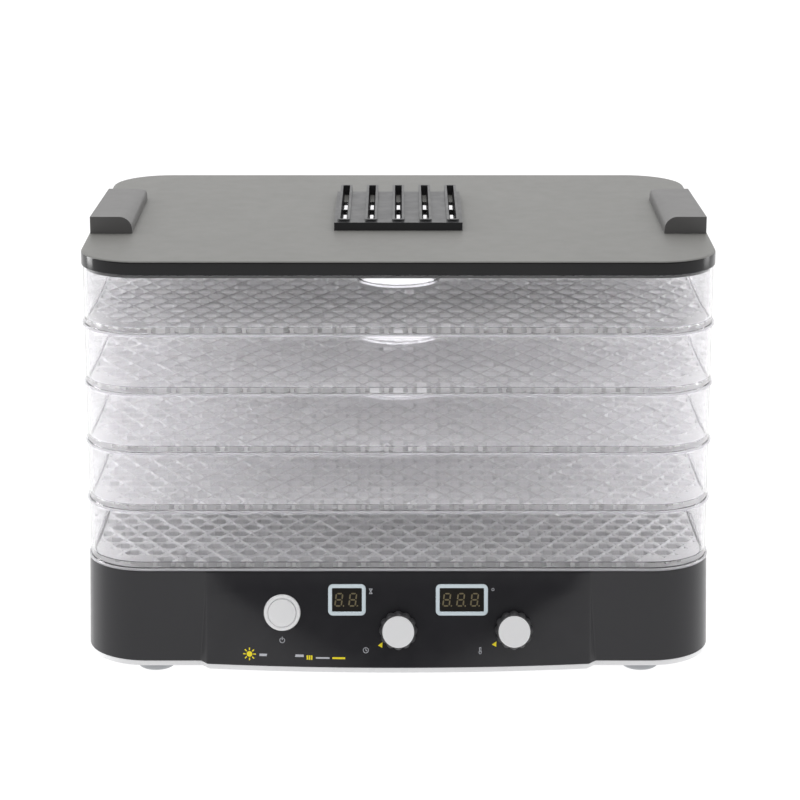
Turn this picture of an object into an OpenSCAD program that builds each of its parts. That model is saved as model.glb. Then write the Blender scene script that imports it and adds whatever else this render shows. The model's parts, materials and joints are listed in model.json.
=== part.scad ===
// Five-tray food dehydrator: a heater and fan base, five clear stacking trays
// with lattice floors and a centre air duct, and a vented lid with two grips.
// Millimetres, +Z up. The origin is on the table, under the middle of the whole
// depth, from the knob caps in front to the power inlet at the back.

/* [Body] */
// Width of the lid
body_w = 437; // [430:1:445]
// Depth of the lid
body_d = 308; // [304:1:312]
// Radius of the upright corners of the lid
corner_r = 42; // [38:1:46]
// Height of a rubber foot
foot_h = 5; // [4.5:0.1:6]
// Height of the pale bottom pan
pan_h = 4; // [3.5:0.1:4.5]

/* [Base] */
// Height of the seat for the lowest tray above the table
seat_z = 76.3; // [75:0.1:78]
// How much wider and deeper the base is at its foot than at its rim
base_flare = 3.4; // [2:0.1:5]
// Wall of the base housing
base_wall = 2.8; // [2.4:0.1:3.2]
// How far the control panel stands out at the bottom, in its middle
bulge_mid = 16; // [12:0.5:17]
// How far the control panel stands out at the bottom, at its ends
bulge_end = 8; // [6:0.5:9]
// Half the width of the control panel
panel_half = 134; // [130:1:136]
// Width of the slanting side at each end of the panel, at its foot
side_w = 5; // [3:0.5:6]
// Lean of the controls from upright, in degrees
panel_lean = 12.4; // [11:0.1:13.5]

/* [Trays] */
// Height of one tray in the stack
tray_pitch = 42.1; // [41:0.1:43]
// Wall of a tray
tray_wall = 2; // [1.8:0.1:2.2]
// Thickness of the lattice floor
rack_t = 3.4; // [3:0.1:4]
// Pitch of the lattice triangles
rack_pitch = 32.4; // [30:0.1:40]
// Outer radius of the centre duct
duct_r = 30.5; // [29.5:0.1:31]
// How far the centre duct hangs below its tray
duct_drop = 30; // [26:0.5:31]

/* [Lid] */
// Height of the lid edge
lid_h = 9.7; // [9:0.1:11]
// Height of a hand grip at its front end
grip_front_h = 12; // [10:0.5:13]
// Height of a hand grip at its back end
grip_back_h = 6.4; // [6:0.1:9]
// Number of vent slots
slot_count = 5; // [3:2:5]
// Distance between vent slots
slot_pitch = 19.4; // [17:0.1:20]

/* [Controls] */
// Diameter of a knob skirt
knob_d = 27; // [25:0.5:28]
// Diameter of a knob cap
knob_cap_d = 22; // [20:0.5:23]
// Diameter of the power button cap
button_d = 19.4; // [18:0.1:20]
// Outer diameter of the ring around the power button
button_ring_d = 25.6; // [25:0.1:27]
// Travel of the power button
button_travel = 2.5; // [2:0.1:3]

/* [Hidden] */

$fn = 72;
e = 0.01;                                // small overlap for clean cuts
mid_y = 9.8;                             // from the origin back to the middle of the trays
fit = 0.35;                              // gap between stacked parts
tray_count = 5;

// heights of the main planes
pan_z = foot_h;                          // underside of the pan
shell_z = foot_h + pan_h;                // lower edge of the black housing
lip_drop = 0.9;                          // how far a tray's lip hangs over the part below
rim_z = seat_z - lip_drop - 0.05;        // outer shoulder of the housing
deck_z = 60.8;                           // top of the deck inside the rim
deck_t = 2.4;
deck_low = deck_z - deck_t;              // underside of the deck
lid_z = seat_z + tray_count * tray_pitch;
lid_top = lid_z + lid_h;

// plan sizes: [width, depth, corner radius]
lid_size = [body_w, body_d, corner_r];
tray_size = [body_w - 1.4, body_d - 6.4, corner_r - 1];
lip_size = grow(tray_size, 1.5);
rim_size = [body_w + 1, body_d - 6, corner_r];
sole_size = grow(rim_size, base_flare / 2);
tray_inner = grow(tray_size, -tray_wall);
nest_size = grow(tray_inner, -fit);

// control panel
knob_z = 35.3;                           // height of the knob axes on the panel
display_z = 55.4;                        // height of the display centres
button_z = 46.8;                         // height of the button axis
button_x = -81;
timer_x = 0;
temp_x = 80.5;
timer_display_x = -35.8;
temp_display_x = 44.3;
timer_frame = [26.5, 22.2, 3.4];
temp_frame = [36.6, 22.2, 3.4];
bezel_rim = 2.8;
window_t = 3;                            // from the panel face to the back of a display window
digits_h = 10.4;                         // height of the module behind a window
board_gap = 20;                          // from the panel face to the front of the board
board_size = [204, 42, 1.6];
board_mid_z = (knob_z + button_z) / 2;
shaft_d = 6;
ring_sink = 0.4;                         // how deep the button ring sits in the panel
button_back = 4;                         // from the panel face to the back of the button

// air path
bore_r = 33;                             // bore of the air duct in the base
duct_w = 84;                             // side of the square duct
duct_z = 14;                             // lower end of the duct
duct_flange = 1.6;
motor_d = 36;
impeller_d = 60;

function grow(s, g) = [s[0] + 2 * g, s[1] + 2 * g, s[2] + g];
function tray_z(level) = seat_z + (level - 1) * tray_pitch;
function bulge(x) = bulge_mid - (bulge_mid - bulge_end) * pow(x / panel_half, 2);
// The panel is flat where its straight top edge meets the middle of its bowed foot, and
// from there it turns as a cone about each end of the top edge.
function panel_share(z) = (rim_z - 2 - z) / (rim_z - 2 - shell_z);
function foot_x(x, share) = max(0, (abs(x) - panel_half * (1 - share)) / share);
function panel_y(x, z) = -rim_size[1] / 2 - panel_share(z) * bulge(foot_x(x, panel_share(z)));
// true where a point lies inside a rounded rectangle
function corner_over(p, s) = [max(abs(p[0]) - s[0] / 2 + s[2], 0), max(abs(p[1]) - s[1] / 2 + s[2], 0)];
function inside(p, s) = norm(corner_over(p, s)) <= s[2];

// ---------- shared shapes ----------

// The shapes below are drawn around the middle of the trays, and every node is
// then moved so that the middle of the whole depth is over the origin.
module centred() {
  translate([0, mid_y, 0]) children();
}

module rounded_rect(s) {
  square([s[0] - 2 * s[2], s[1]], center = true);
  square([s[0], s[1] - 2 * s[2]], center = true);
  for (sx = [-1, 1], sy = [-1, 1])
    translate([sx * (s[0] / 2 - s[2]), sy * (s[1] / 2 - s[2])]) circle(s[2]);
}

module slab(s, z, h) {
  translate([0, 0, z]) linear_extrude(height = h) rounded_rect(s);
}

module band(outer, inner, z, h) {
  difference() {
    slab(outer, z, h);
    slab(inner, z - 1, h + 2);
  }
}

module tube(r_out, r_in, z, h) {
  translate([0, 0, z]) difference() {
    cylinder(r = r_out, h = h);
    translate([0, 0, -1]) cylinder(r = r_in, h = h + 2);
  }
}

// a frame on the control panel: local z points out of the panel, local y runs up it
module on_panel(x, z) {
  translate([x, panel_y(x, z), z]) rotate([90 - panel_lean, 0, 0]) children();
}

// a frame in the middle of the control board, in the board's own plane
module on_board() {
  on_panel(0, board_mid_z) translate([0, 0, -board_gap]) children();
}

// depth of the board's front face below the panel at a control
function board_depth(x, z) = board_gap - (panel_y(x, z) - panel_y(0, board_mid_z)) * cos(panel_lean)
  + (z - board_mid_z) * sin(panel_lean);

module screw(d, head_d, len) {
  cylinder(d = d, h = len);
  translate([0, 0, -head_d * 0.35]) difference() {
    cylinder(d = head_d, h = head_d * 0.35);
    for (a = [0, 90]) rotate(a) translate([-head_d * 0.3, -d * 0.12, -1])
      cube([head_d * 0.6, d * 0.24, 1 + head_d * 0.18]);
  }
}

// ---------- base ----------

// outline of the bulged panel at its foot, with a slanting side at each end
function panel_foot(inset) = let (side = panel_half + side_w - inset, y = -sole_size[1] / 2 + inset) concat(
  [for (i = [-12:12]) let (x = i / 12 * (panel_half - inset)) [x, panel_y(x, shell_z) + inset]],
  [[side, y], [side, y + 12], [-side, y + 12], [-side, y]]);

// solid form of the bulged panel, pushed inwards by inset
module panel_form(inset) {
  hull() {
    translate([-panel_half + inset, -rim_size[1] / 2 + inset, rim_z - 2 - inset])
      cube([2 * (panel_half - inset), 12, 2]);
    translate([0, 0, shell_z]) linear_extrude(height = e) polygon(panel_foot(inset));
  }
}

module housing_form(inset, z0, z1) {
  hull() {
    slab(grow(sole_size, -inset), z0, e);
    slab(grow(rim_size, -inset), z1 - e, e);
  }
}

module pan_boss(x, y) {
  translate([x, y, shell_z + 0.6]) cylinder(d = 9, h = deck_low - shell_z - 0.6 + e);
}

pan_screw_xy = [for (sx = [-1, 1], sy = [-1, 1]) [sx * 150, sy * 118]];
inlet_x = 140;
inlet_z = 34;
inlet_sink = 0.3;                        // the back wall leans in by this much at the inlet

module base_housing() {
  color("#2b2a2e") centred() difference() {
    union() {
      difference() {
        union() {
          housing_form(0, shell_z, rim_z);
          panel_form(0);
          // seat of the lowest tray
          slab(tray_size, rim_z - 1, seat_z - rim_z + 1);
        }
        // room below the deck for the fan, the heater and the controls
        housing_form(base_wall, shell_z - 1, deck_low);
        intersection() {
          translate([0, 0, -e]) panel_form(base_wall);
          translate([-body_w / 2, -body_d, 0]) cube([body_w, body_d, deck_low - e]);
        }
      }
      for (p = pan_screw_xy) pan_boss(p[0], p[1]);
    }
    // pocket above the deck, which takes the nesting rim of the lowest tray
    slab(tray_inner, deck_z, body_w);
    // opening for the air duct
    translate([0, 0, deck_z - deck_t / 2]) cube([duct_w - 10, duct_w - 10, deck_t + 2], center = true);
    // pilot holes of the pan screws
    for (p = pan_screw_xy) translate([p[0], p[1], shell_z]) cylinder(d = 3, h = 18);
    // controls
    on_panel(button_x, button_z) {
      translate([0, 0, -12]) cylinder(d = button_ring_d - 2.4, h = 20);
      translate([0, 0, -ring_sink]) cylinder(d = button_ring_d + 0.3, h = 8);
    }
    on_panel(timer_x, knob_z) translate([0, 0, -12]) cylinder(d = 9.4, h = 20);
    on_panel(temp_x, knob_z) translate([0, 0, -12]) cylinder(d = 9.4, h = 20);
    on_panel(timer_display_x, display_z) bezel_cut(timer_frame);
    on_panel(temp_display_x, display_z) bezel_cut(temp_frame);
    // inlet
    translate([inlet_x, body_d / 2, inlet_z]) cube([27.4, 30, 20.4], center = true);
    for (sx = [-1, 1]) translate([inlet_x + sx * 20, body_d / 2 + 2, inlet_z])
      rotate([90, 0, 0]) cylinder(d = 2.6, h = 14);
  }
}

// a shallow seat for the bezel and window, and a deeper opening for the digits' module
module bezel_cut(f) {
  translate([0, 0, -window_t - 0.5]) linear_extrude(height = 16) rounded_rect(f);
  translate([-f[0] / 2 + bezel_rim, -f[1] / 2 + bezel_rim, -14])
    cube([f[0] - 2 * bezel_rim, digits_h + 0.4, 14]);
}

module sole_outline(inset) {
  rounded_rect(grow(sole_size, -inset));
  polygon(panel_foot(inset));
}

filter_r = 40;                           // radius of the filter's cover ring
head_sink = 2.4;                         // depth of the screw seats in the pan

module bottom_pan() {
  color("#f3f4f5") centred() difference() {
    union() {
      translate([0, 0, pan_z + 1.2]) linear_extrude(height = pan_h - 1.2) sole_outline(0.4);
      translate([0, 0, pan_z]) linear_extrude(height = 1.2 + e) sole_outline(1.8);
      // locating rim inside the housing
      band(grow(sole_size, -base_wall - 0.5), grow(sole_size, -base_wall - 2.3), shell_z - e, 4);
      for (p = pan_screw_xy) translate([p[0], p[1], shell_z - e]) cylinder(d = 9, h = 0.6);
    }
    // the locating rim stops at the control panel
    translate([-panel_half - 8, -body_d, shell_z]) cube([2 * panel_half + 16, body_d / 2 + 40, 6]);
    // hollow behind the outer edge
    difference() {
      translate([0, 0, pan_z + 2.2]) linear_extrude(height = pan_h) sole_outline(base_wall + 2.3);
      for (p = pan_screw_xy) translate([p[0], p[1], 0]) cylinder(d = 12, h = 20);
      cylinder(r = filter_r + 5, h = 20);
    }
    // intake, and the seat of the filter
    translate([0, 0, pan_z - 1]) cylinder(r = filter_r - 6, h = 20);
    translate([0, 0, pan_z - 1]) cylinder(r = filter_r + 0.3, h = 3.6);
    // screw holes
    for (p = pan_screw_xy) {
      translate([p[0], p[1], pan_z - 1]) cylinder(d = 4.2, h = 12);
      translate([p[0], p[1], pan_z - 1]) cylinder(d = 7.6, h = 1 + head_sink);
    }
    // sockets of the feet
    for (p = foot_xy) translate([p[0], p[1], pan_z - 1]) cylinder(d = 5.2, h = 12);
  }
}

foot_xy = [for (sx = [-1, 1], sy = [-1, 1]) [sx * 171, sy * 136]];

module feet() {
  color("#b9bbc0") centred() for (p = foot_xy) translate([p[0], p[1], 0]) {
    rotate_extrude() polygon([[0, 0], [12, 0], [13.4, 1.4], [13.4, foot_h - 0.05], [0, foot_h - 0.05]]);
    translate([0, 0, foot_h - 0.1]) cylinder(d = 5, h = 2);
  }
}

module pan_screws() {
  color("silver") centred() for (p = pan_screw_xy)
    translate([p[0], p[1], pan_z + head_sink - 0.02]) screw(2.9, 6.4, 14);
}

// ---------- air path ----------

module filter_cover() {
  color("#e4e6e8") centred() difference() {
    union() {
      translate([0, 0, foot_h - 2.2]) cylinder(r = filter_r + 5, h = 2.1);
      translate([0, 0, foot_h - 1]) tube(filter_r, filter_r - 2, 0, 1.6);
    }
    translate([0, 0, foot_h - 1.4]) cylinder(r = filter_r - 2, h = 5);
    for (i = [-5:5]) let (half = sqrt(pow(filter_r - 6, 2) - pow(i * 6, 2)))
      translate([i * 6 - 1.4, -half, 0]) cube([2.8, 2 * half, 10]);
  }
}

module air_filter() {
  color("#d8dadd") centred() translate([0, 0, foot_h + 0.8]) cylinder(r = filter_r - 0.4, h = 1.7);
}

duct_screw_xy = [for (sx = [-1, 1], sy = [-1, 1]) [sx * 34, sy * 34]];

module air_duct() {
  color("#d4d6da") centred() difference() {
    union() {
      translate([-duct_w / 2, -duct_w / 2, deck_z]) cube([duct_w, duct_w, duct_flange]);
      translate([0, 0, (duct_z + deck_z) / 2])
        cube([duct_w - 10.6, duct_w - 10.6, deck_z - duct_z + e], center = true);
    }
    translate([0, 0, duct_z - 1]) cylinder(r = bore_r, h = 80);
    // sockets of the spider's screws, from below
    for (p = duct_screw_xy) translate([p[0] * 0.94, p[1] * 0.94, duct_z - 1]) cylinder(d = 2.4, h = 12);
    // seats of the heater frame
    for (a = [0, 90]) rotate(a) translate([0, 0, coil_z]) cube([2 * bore_r + 3, 1.5, 8.4], center = true);
  }
}

module motor_bracket() {
  color("#9a9da2") centred() translate([0, 0, duct_z - 2]) difference() {
    union() {
      cylinder(r = motor_d / 2 - 6, h = 1.95);
      for (a = [45:90:315]) rotate(a) translate([0, -3.5, 0]) cube([46, 7, 1.95]);
      for (p = duct_screw_xy) translate([p[0] * 0.94, p[1] * 0.94, 0]) cylinder(d = 8, h = 1.95);
    }
    translate([0, 0, -1]) cylinder(d = 8.4, h = 5);
    for (p = duct_screw_xy) translate([p[0] * 0.94, p[1] * 0.94, -1]) cylinder(d = 3, h = 5);
  }
}

module duct_screws() {
  color("silver") centred() for (p = duct_screw_xy)
    translate([p[0] * 0.94, p[1] * 0.94, duct_z - 2.05]) screw(2.3, 5, 9);
}

motor_h = 11;

module fan_motor() {
  color("#8d9095") centred() difference() {
    union() {
      translate([0, 0, duct_z]) cylinder(d = motor_d, h = motor_h);
      translate([0, 0, duct_z - 2]) cylinder(d = 8, h = 2 + e);
    }
    translate([0, 0, duct_z - 5]) cylinder(d = 4.1, h = 30);
  }
}

module motor_shaft() {
  color("silver") centred() translate([0, 0, duct_z - 1.6]) cylinder(d = 4, h = motor_h + 11);
}

impeller_z = duct_z + motor_h + 1;

module fan_impeller() {
  color("#3a3d42") centred() translate([0, 0, impeller_z]) {
    difference() {
      cylinder(d = 20, h = 9);
      translate([0, 0, -1]) cylinder(d = 4, h = 20);
    }
    for (a = [0:360 / 7:359]) rotate(a) translate([9, 0, 4.6]) rotate([34, 0, 0])
      translate([0, -7, -0.8]) cube([impeller_d / 2 - 9.6, 14, 1.6]);
  }
}

coil_radii = [14, 20, 26];
coil_z = 40.6;                           // middle of the heater

module heater_frame() {
  color("#d9c9a3") centred() for (a = [0, 90]) rotate(a) translate([0, 0, coil_z]) difference() {
    cube([2 * bore_r + 2.4, 1.2, 8], center = true);
    for (r = coil_radii, s = [-1, 1]) translate([s * r, 0, 0]) rotate([90, 0, 0])
      cylinder(d = 3, h = 4, center = true);
    // the two plates cross at half height
    translate([0, 0, a == 0 ? 3 : -3]) cube([1.4, 4, 6.05], center = true);
  }
}

module heater_coil() {
  color("#b5763f") centred() for (r = coil_radii) translate([0, 0, coil_z])
    rotate_extrude() translate([r, 0]) circle(d = 2.2, $fn = 16);
}

module thermal_cutout() {
  color("#c8ccd0") centred() translate([duct_w / 2 - 5.3 + 0.02, 0, 30]) rotate([0, 90, 0]) {
    cylinder(d = 14, h = 4);
    cylinder(d = 10, h = 7);
    for (y = [-3, 3]) translate([-1.5, y - 0.4, 6.9]) cube([3, 0.8, 6]);
  }
}

// ---------- power inlet and control electronics ----------

module power_inlet() {
  color("#1d1d1f") centred() translate([inlet_x, sole_size[1] / 2 - inlet_sink, inlet_z]) {
    difference() {
      union() {
        translate([-24.5, 0, -11.5]) cube([49, 3, 23]);
        translate([-13.5, -22, -10]) cube([27, 22 + e, 20]);
      }
      translate([-11, -14, -7.5]) cube([22, 20, 15]);
      for (sx = [-1, 1]) translate([sx * 20, 6, 0]) rotate([90, 0, 0]) cylinder(d = 3.2, h = 10);
    }
    for (x = [-6, 0, 6]) translate([x - 1, -15, x == 0 ? 1 : -2]) cube([2, 14, 4]);
  }
}

module inlet_screws() {
  color("silver") centred() for (sx = [-1, 1])
    translate([inlet_x + sx * 20, sole_size[1] / 2 + 3.02 - inlet_sink, inlet_z]) rotate([90, 0, 0]) screw(2.5, 5, 12);
}

board_screw_xy = [for (sx = [-1, 1], sy = [-1, 1]) [sx * 96, sy * 18]];

module control_board() {
  centred() on_board() {
    color("#1f6b3a") difference() {
      translate([-board_size[0] / 2, -board_size[1] / 2, -board_size[2]]) cube(board_size);
      for (p = board_screw_xy) translate([p[0], p[1], -5]) cylinder(d = 3.2, h = 10);
    }
    // relay, transformer and capacitors on the back
    color("#2b4f9e") translate([-60, -8, -board_size[2] - 14]) cube([20, 16, 14]);
    color("#c9a227") translate([-30, -12, -board_size[2] - 20]) cube([28, 24, 20]);
    color("#2d2d30") for (x = [20, 36]) translate([x, 6, -board_size[2] - 14]) cylinder(d = 10, h = 14);
    color("#111111") translate([52, -10, -board_size[2] - 3]) cube([20, 20, 3]);
  }
}

module board_screws() {
  color("silver") centred() on_board() for (p = board_screw_xy)
    translate([p[0], p[1], -board_size[2] - 0.1]) screw(2.9, 5.6, 6);
}

// the smoked window, and behind it the module of digits, which ends below the deck
module display_block(f) {
  corner = [-f[0] / 2 + bezel_rim + 0.2, -f[1] / 2 + bezel_rim + 0.2];
  wide = f[0] - 2 * bezel_rim - 0.4;
  translate([corner[0], corner[1], -window_t]) cube([wide, f[1] - 2 * bezel_rim - 0.4, window_t - 0.4]);
  translate([corner[0], corner[1], -8.4]) cube([wide, digits_h, 8.4 - window_t + e]);
}

module bezel(f) {
  difference() {
    translate([0, 0, -2.6]) linear_extrude(height = 3.2) rounded_rect([f[0] - 0.2, f[1] - 0.2, f[2]]);
    translate([-f[0] / 2 + bezel_rim, -f[1] / 2 + bezel_rim, -10])
      cube([f[0] - 2 * bezel_rim, f[1] - 2 * bezel_rim, 20]);
  }
}

module timer_display() {
  color("#15110d") centred() on_panel(timer_display_x, display_z) display_block(timer_frame);
}

module temp_display() {
  color("#15110d") centred() on_panel(temp_display_x, display_z) display_block(temp_frame);
}

module timer_display_bezel() {
  color("#dfe9ee") centred() on_panel(timer_display_x, display_z) bezel(timer_frame);
}

module temp_display_bezel() {
  color("#dfe9ee") centred() on_panel(temp_display_x, display_z) bezel(temp_frame);
}

module encoder(depth) {
  difference() {
    union() {
      translate([-6, -6, -depth + 0.02]) cube([12, 12, depth - 8]);
      translate([0, 0, -8 - e]) cylinder(d = 9, h = 8 + 1.4);
    }
    translate([0, 0, -14]) cylinder(d = shaft_d + 0.1, h = 30);
  }
}

module encoder_shaft() {
  translate([0, 0, -13.5]) cylinder(d = shaft_d, h = 13.5 + 10);
}

knob_gap = 1;                            // from the panel to the skirt
knob_len = 11.5;

module knob() {
  difference() {
    translate([0, 0, knob_gap]) union() {
      cylinder(d = knob_d - 1.8, h = knob_len - 1.5);
      translate([0, 0, knob_len - 1.5]) cylinder(d1 = knob_d - 1.8, d2 = knob_cap_d + 1.6, h = 1.5);
      for (a = [0:30:330]) rotate(a) translate([knob_d / 2 - 2.6, 0, 0]) cylinder(d = 5, h = knob_len - 1.6);
    }
    translate([0, 0, knob_gap - 1]) cylinder(d = 12, h = 3.4);
    translate([0, 0, knob_gap]) cylinder(d = shaft_d, h = 9.2);
  }
}

module knob_cap() {
  translate([0, 0, knob_gap + knob_len + 0.02]) rotate_extrude()
    polygon([[0, 0], [knob_cap_d / 2, 0], [knob_cap_d / 2, 0.9], [knob_cap_d / 2 - 0.6, 1.5], [0, 1.9]]);
}

module timer_encoder() {
  color("#a9adb2") centred() on_panel(timer_x, knob_z) encoder(board_depth(timer_x, knob_z));
}
module timer_shaft() { color("silver") centred() on_panel(timer_x, knob_z) encoder_shaft(); }
module timer_knob() { color("#202124") centred() on_panel(timer_x, knob_z) knob(); }
module timer_knob_cap() { color("#f2f2f3") centred() on_panel(timer_x, knob_z) knob_cap(); }
module temp_encoder() {
  color("#a9adb2") centred() on_panel(temp_x, knob_z) encoder(board_depth(temp_x, knob_z));
}
module temp_shaft() { color("silver") centred() on_panel(temp_x, knob_z) encoder_shaft(); }
module temp_knob() { color("#202124") centred() on_panel(temp_x, knob_z) knob(); }
module temp_knob_cap() { color("#f2f2f3") centred() on_panel(temp_x, knob_z) knob_cap(); }

module power_button_ring() {
  color("#f0f1f2") centred() on_panel(button_x, button_z) difference() {
    union() {
      translate([0, 0, 0.02 - ring_sink]) cylinder(d = button_ring_d, h = 2.2 + ring_sink);
      translate([0, 0, -6]) cylinder(d = button_ring_d - 2.6, h = 6.1);
    }
    translate([0, 0, -8]) cylinder(d = button_d + 0.2, h = 20);
  }
}

module power_button() {
  color("#e9eaec") centred() on_panel(button_x, button_z) difference() {
    union() {
      translate([0, 0, -button_back]) cylinder(d = button_d, h = button_back + 2.2);
      translate([0, 0, 2.2 - e]) cylinder(d1 = button_d, d2 = button_d - 1.4, h = 0.9);
    }
    // groove of the spring
    translate([0, 0, -button_back - 1]) tube(8.4, 3, 0, button_back + 1.2);
  }
}

module button_spring() {
  color("silver") centred() on_panel(button_x, button_z) for (i = [0:5])
    translate([0, 0, -9.5 + i * 1.1]) rotate_extrude() translate([4.6, 0]) circle(d = 0.8, $fn = 16);
}

module power_switch() {
  depth = board_depth(button_x, button_z);
  color("#3b3d42") centred() on_panel(button_x, button_z) {
    translate([-6.5, -6.5, -depth + 0.02]) cube([13, 13, depth - 10]);
    // plunger, which the pressed button just doesn't reach
    translate([0, 0, -10.1]) cylinder(d = 3.6, h = 9.9 - button_back - button_travel);
  }
}

// a round wire through a list of points
module wire(points, d) {
  for (i = [0:len(points) - 2]) {
    a = points[i];
    b = points[i + 1];
    v = b - a;
    translate(a) rotate([0, acos(v[2] / norm(v)), atan2(v[1], v[0])]) cylinder(d = d, h = norm(v));
    translate(b) sphere(d = d * 1.2);
  }
}

module wiring() {
  y0 = sole_size[1] / 2 - 23.4;            // just clear of the inlet's back
  color("#5a3b22") centred()
    wire([[134, y0, 34], [134, 90, 20], [110, 0, 16], [90, -90, 20], [84, -137, 24]], 3);
  color("#2c5aa0") centred()
    wire([[140, y0, 36], [140, 90, 26], [118, 0, 22], [98, -90, 26], [92, -136, 30]], 3);
  color("#b22222") centred()
    wire([[51, 0, 30], [62, -30, 24], [70, -90, 24], [76, -136, 28]], 2.4);
}

// ---------- trays ----------

rack_row = rack_pitch * sqrt(3) / 2;
rack_rib = 5;                            // width of a lattice rib
cross_w = rack_rib + 0.2;                // width of the bars between the lattice panels
ledge_t = 1.2;                           // ledge around the tray, which carries the panels
panel_gap = 0.05;

// one triangular hole, pointing back when up is true
module rack_hole(up) {
  s = rack_pitch - rack_rib * sqrt(3);
  h = s * sqrt(3) / 2;
  k = up ? 1 : -1;
  polygon([[-s / 2, -k * h / 3], [s / 2, -k * h / 3], [0, k * 2 * h / 3]]);
}

function rack_clear(p) = inside(p, grow(tray_inner, -rack_pitch * 0.44))
  && norm(p) > duct_r + rack_pitch * 0.36;

module rack_holes() {
  nx = ceil(tray_size[0] / rack_pitch / 2) + 1;
  ny = ceil(tray_size[1] / rack_row / 2) + 1;
  for (j = [-ny:ny], i = [-nx:nx]) {
    x = (i + (abs(j) % 2) / 2) * rack_pitch;
    a = [x, (j + 1 / 3) * rack_row];
    b = [x + rack_pitch / 2, (j + 2 / 3) * rack_row];
    if (rack_clear(a)) translate(a) rack_hole(true);
    if (rack_clear(b)) translate(b) rack_hole(false);
  }
}

// a cross of bars on the middle lines of the tray, from the duct to the wall
module rack_cross(width, low, high) {
  translate([-tray_size[0] / 2, -width / 2, low]) cube([tray_size[0], width, high - low]);
  translate([-width / 2, -tray_size[1] / 2, low]) cube([width, tray_size[1], high - low]);
}

// wall, ledge, centre duct and cross of one tray
module tray_frame(level) {
  color("#e6e9ee", 0.45) centred() translate([0, 0, tray_z(level)]) {
    difference() {
      union() {
        // wall, and the lip that hangs over the part below
        band(tray_size, tray_inner, 0, tray_pitch);
        band(lip_size, grow(tray_size, -e), 0, 0.7);
        band(lip_size, grow(tray_size, fit), -lip_drop, lip_drop + e);
        // rim that nests in the part below, and the ledge above it
        band(nest_size, grow(nest_size, -1.6), -3, 3 + e);
        band(grow(tray_inner, e), grow(nest_size, -1.6), 0, ledge_t);
        intersection() {
          rack_cross(cross_w, 0, rack_t);
          slab(grow(tray_inner, e), 0, rack_t);
        }
        translate([0, 0, -duct_drop]) cylinder(r = duct_r, h = duct_drop + 6.5);
      }
      translate([0, 0, -duct_drop - 1]) cylinder(r = duct_r - 1.8, h = duct_drop + 10);
    }
  }
}

// four lattice panels, which lie on the ledge between the bars of the cross
module tray_lattice(level) {
  z = ledge_t + panel_gap;
  color("#e6e9ee", 0.45) centred() translate([0, 0, tray_z(level)])
    difference() {
      slab(grow(tray_inner, -panel_gap), z, rack_t - z);
      rack_cross(cross_w + 2 * panel_gap, z - 1, rack_t + 1);
      translate([0, 0, z - 1]) cylinder(r = duct_r + panel_gap, h = rack_t + 2);
      translate([0, 0, z - 1]) linear_extrude(height = rack_t + 2) rack_holes();
    }
}

module tray_1() { tray_frame(1); }
module tray_2() { tray_frame(2); }
module tray_3() { tray_frame(3); }
module tray_4() { tray_frame(4); }
module tray_5() { tray_frame(5); }
module tray_1_lattice() { tray_lattice(1); }
module tray_2_lattice() { tray_lattice(2); }
module tray_3_lattice() { tray_lattice(3); }
module tray_4_lattice() { tray_lattice(4); }
module tray_5_lattice() { tray_lattice(5); }

// ---------- lid ----------

edge_r = 1.6;                            // rounding of the lid's upper edge
lid_wall = 3;
plate_t = 2.5;
vent_x = 45.5;                           // half width of the vent block
vent_front = -54;
vent_flat = 58;                          // back end of the block's flat top
vent_back = 80;                          // back end of the block's ramp
vent_h = 5.8;
rim_h = 1.6;                             // slot rims above the block
rim_w = 8.8;
slot_w = 5;
slot_low_w = 2.4;
slot_front = -48;
slot_back = 74;
grille_low = lid_top - plate_t;
grip_in = 187.8;                         // inner side of a grip
grip_out = 217.4;
grip_front = -64;
grip_back = 66;

module lid() {
  color("#6f7072") centred() difference() {
    union() {
      hull() {
        slab(lid_size, lid_z, e);
        for (a = [0:22.5:90])
          slab(grow(lid_size, -edge_r * (1 - cos(a))), lid_top - edge_r * (1 - sin(a)) - e, e);
      }
    }
    difference() {
      slab(grow(lid_size, -lid_wall), lid_z - 1, lid_h - plate_t + 1);
      band(nest_size, grow(nest_size, -1.6), lid_z - 1, lid_h + 1);
    }
    translate([-vent_x + 2.5, vent_front + 3, lid_z]) cube([2 * vent_x - 5, vent_back - vent_front - 6, 40]);
    for (p = grip_screw_xy) translate([p[0], p[1], lid_z]) cylinder(d = 3.2, h = 20);
  }
  color("#6f7072") centred() band(nest_size, grow(nest_size, -1.6), lid_z - 3, lid_h - plate_t + 3 + e);
}

module slot_cut() {
  for (i = [0:slot_count - 1]) translate([(i - (slot_count - 1) / 2) * slot_pitch, slot_back, 0])
    rotate([90, 0, 0]) linear_extrude(height = slot_back - slot_front) polygon([
      [-slot_low_w / 2, grille_low - 1], [slot_low_w / 2, grille_low - 1],
      [slot_low_w / 2, grille_low + 1], [slot_w / 2, lid_top + vent_h - 1],
      [slot_w / 2, lid_top + vent_h + rim_h + 1], [-slot_w / 2, lid_top + vent_h + rim_h + 1],
      [-slot_w / 2, lid_top + vent_h - 1], [-slot_low_w / 2, grille_low + 1]]);
}

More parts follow.
